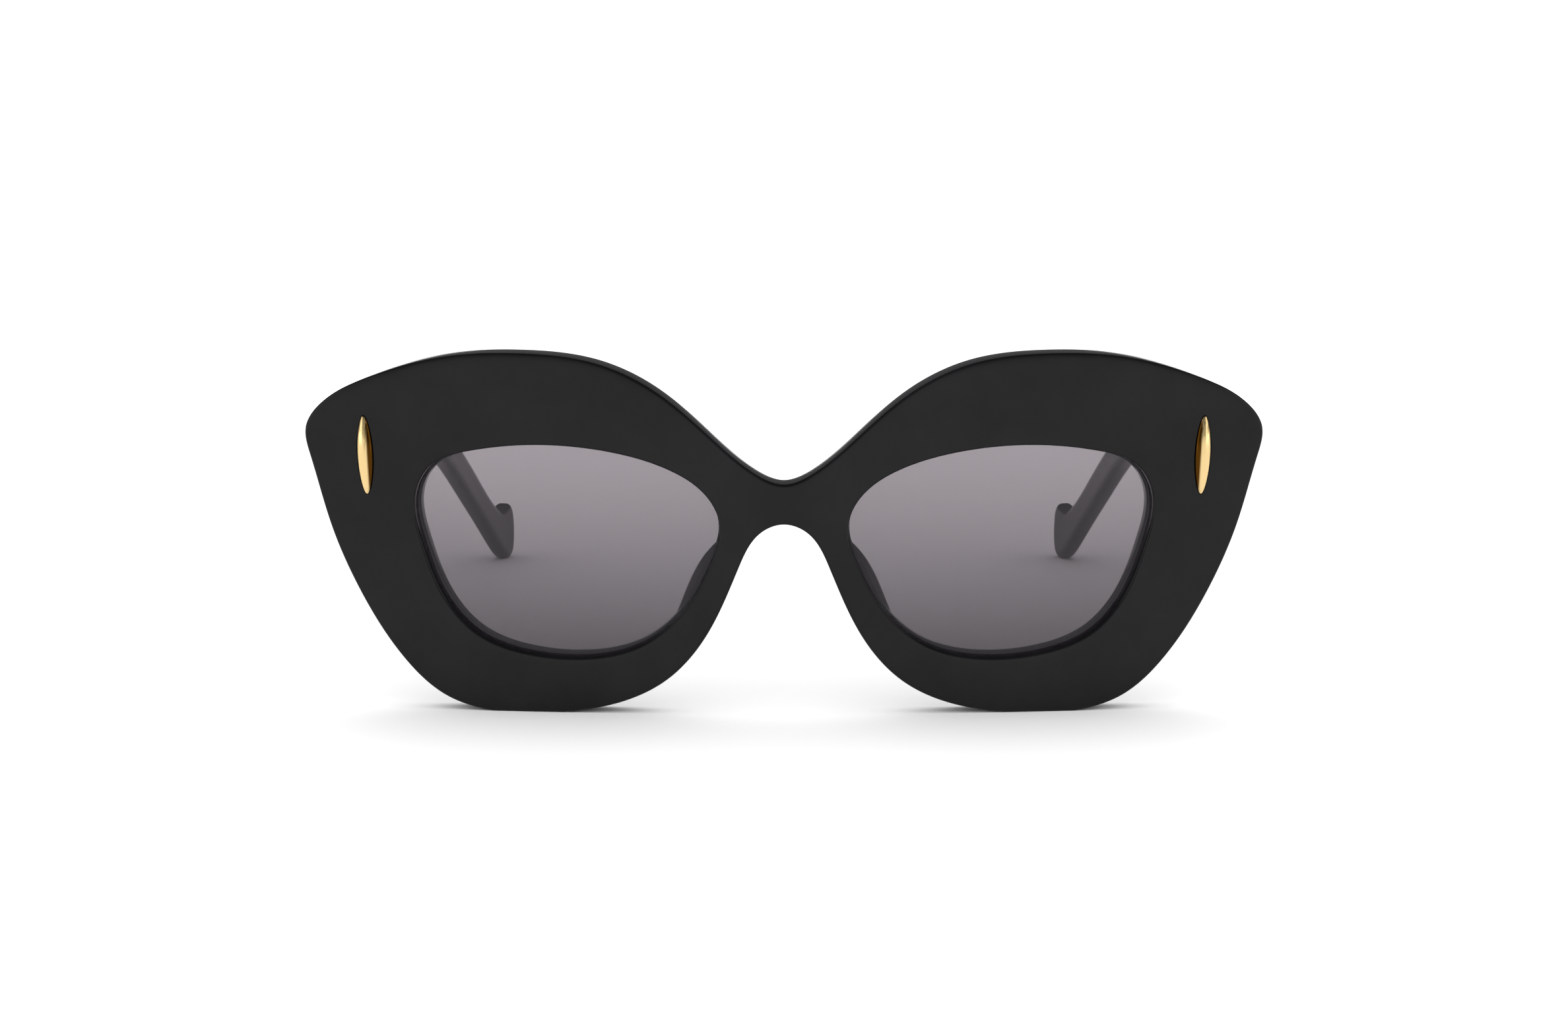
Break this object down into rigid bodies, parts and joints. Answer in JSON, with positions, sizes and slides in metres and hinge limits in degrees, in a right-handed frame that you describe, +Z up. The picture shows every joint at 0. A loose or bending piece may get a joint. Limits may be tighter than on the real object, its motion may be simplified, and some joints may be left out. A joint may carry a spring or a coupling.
{
  "type": "cat eye sunglasses",
  "caption": "Cat eye sunglasses with a thick black acetate front, smoke gradient lenses, a slim gold plaque at each upper corner and temples that fold on barrel hinges.",
  "frame": {"origin": "on the surface that the glasses stand on, below the centre of their box", "axes": "+X to the wearer's left, -Y the way the front faces, with the temples running to +Y, +Z up"},
  "size_m": [0.1496, 0.146, 0.0565],
  "materials": {
    "black_acetate": "polished black cellulose acetate",
    "lens_tint": "smoke gradient tint, darker towards the bottom",
    "polished_gold": "mirror polished gold plate",
    "hinge_metal": "tumbled nickel silver",
    "screw_steel": "machined steel",
    "core_wire": "drawn nickel silver wire"
  },
  "bodies": {
    "front": {"front_frame": "black_acetate", "left_lens": "lens_tint", "right_lens": "lens_tint", "left_nose_pad": "black_acetate", "right_nose_pad": "black_acetate", "left_plaque": "polished_gold", "right_plaque": "polished_gold", "left_front_hinge": "hinge_metal", "right_front_hinge": "hinge_metal", "left_hinge_screw": "screw_steel", "right_hinge_screw": "screw_steel", "left_front_leaf_screw_upper": "screw_steel", "left_front_leaf_screw_lower": "screw_steel", "right_front_leaf_screw_upper": "screw_steel", "right_front_leaf_screw_lower": "screw_steel"},
    "left_arm": {"left_temple": "black_acetate", "left_temple_core": "core_wire", "left_temple_hinge": "hinge_metal", "left_temple_leaf_screw_upper": "screw_steel", "left_temple_leaf_screw_lower": "screw_steel"},
    "right_arm": {"right_temple": "black_acetate", "right_temple_core": "core_wire", "right_temple_hinge": "hinge_metal", "right_temple_leaf_screw_upper": "screw_steel", "right_temple_leaf_screw_lower": "screw_steel"}
  },
  "joints": [
    {"name": "left_temple_fold", "type": "hinge", "parent": "front", "child": "left_arm", "pos_m": [0.0643, -0.06, 0.0403], "axis": [0, 0, 1], "range_deg": [0, 85]},
    {"name": "right_temple_fold", "type": "hinge", "parent": "front", "child": "right_arm", "pos_m": [-0.0643, -0.06, 0.0403], "axis": [0, 0, -1], "range_deg": [0, 78]}
  ]
}
